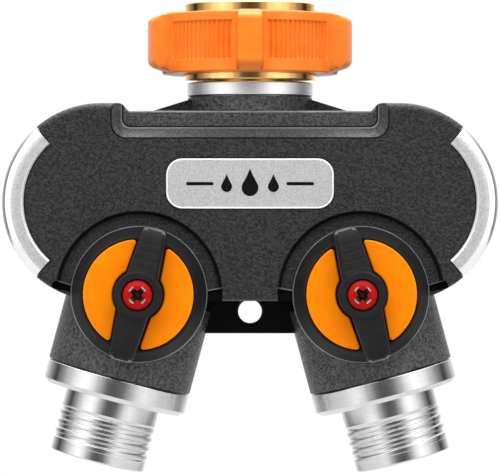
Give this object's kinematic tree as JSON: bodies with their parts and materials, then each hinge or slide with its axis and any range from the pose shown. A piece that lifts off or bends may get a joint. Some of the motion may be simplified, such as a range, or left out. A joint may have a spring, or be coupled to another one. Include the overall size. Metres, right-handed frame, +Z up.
{
  "type": "hose splitter",
  "caption": "Two-way garden hose splitter with a swivel inlet nut, a bean-shaped casing and a quarter-turn ball valve on each leaning male outlet.",
  "frame": {"origin": "centre of the hose washer's top face, on the inlet axis", "axes": "+Z up and out of the inlet, +X to the right as seen from the knobs, -Y out of the front face where the knobs are"},
  "size_m": [0.136, 0.0626, 0.1306],
  "materials": {
    "casing": "dark grey, fine leather grain",
    "silver_trim": "satin silver with bright bevels",
    "screws": "zinc plated",
    "casting": "satin nickel over a casting",
    "brass": "polished",
    "rubber": "black nitrile rubber",
    "outlet_metal": "turned and polished silver",
    "seats": "white low-friction plastic",
    "balls": "mirror plated",
    "knob_orange": "bright orange, semi-gloss",
    "red_screw": "red, semi-gloss",
    "knob_black": "dark grey, smooth matt",
    "grip_orange": "orange, soft matt"
  },
  "bodies": {
    "body": {"front_shell": "casing", "rear_shell": "casing", "left_side_trim": "silver_trim", "right_side_trim": "silver_trim", "badge_plate": "silver_trim", "casing_screw_1": "screws", "casing_screw_2": "screws", "casing_screw_3": "screws", "casing_screw_4": "screws", "casing_screw_5": "screws", "manifold_core": "casting", "inlet_tailpiece": "brass", "inlet_o_ring": "rubber", "left_outlet_nipple": "outlet_metal", "left_outlet_o_ring": "rubber", "left_upstream_seat": "seats", "left_downstream_seat": "seats", "right_outlet_nipple": "outlet_metal", "right_outlet_o_ring": "rubber", "right_upstream_seat": "seats", "right_downstream_seat": "seats"},
    "swivel_nut": {"swivel_nut_grip": "grip_orange", "swivel_nut_sleeve": "brass", "hose_washer": "rubber"},
    "left_valve": {"left_ball": "balls", "left_valve_stem": "brass", "left_stem_o_ring": "rubber", "left_knob": "knob_black", "left_knob_inlay_1": "knob_orange", "left_knob_inlay_2": "knob_orange", "left_knob_screw": "red_screw"},
    "right_valve": {"right_ball": "balls", "right_valve_stem": "brass", "right_stem_o_ring": "rubber", "right_knob": "knob_black", "right_knob_inlay_1": "knob_orange", "right_knob_inlay_2": "knob_orange", "right_knob_screw": "red_screw"}
  },
  "joints": [
    {"name": "inlet_swivel", "type": "hinge", "parent": "body", "child": "swivel_nut", "pos_m": [0, 0, 0], "axis": [0, 0, 1], "continuous": true},
    {"name": "left_valve_turn", "type": "hinge", "parent": "body", "child": "left_valve", "pos_m": [-0.0304, 0, -0.0667], "axis": [0, 1, 0], "range_deg": [0, 90]},
    {"name": "right_valve_turn", "type": "hinge", "parent": "body", "child": "right_valve", "pos_m": [0.0304, 0, -0.0667], "axis": [0, 1, 0], "range_deg": [0, 90]}
  ]
}
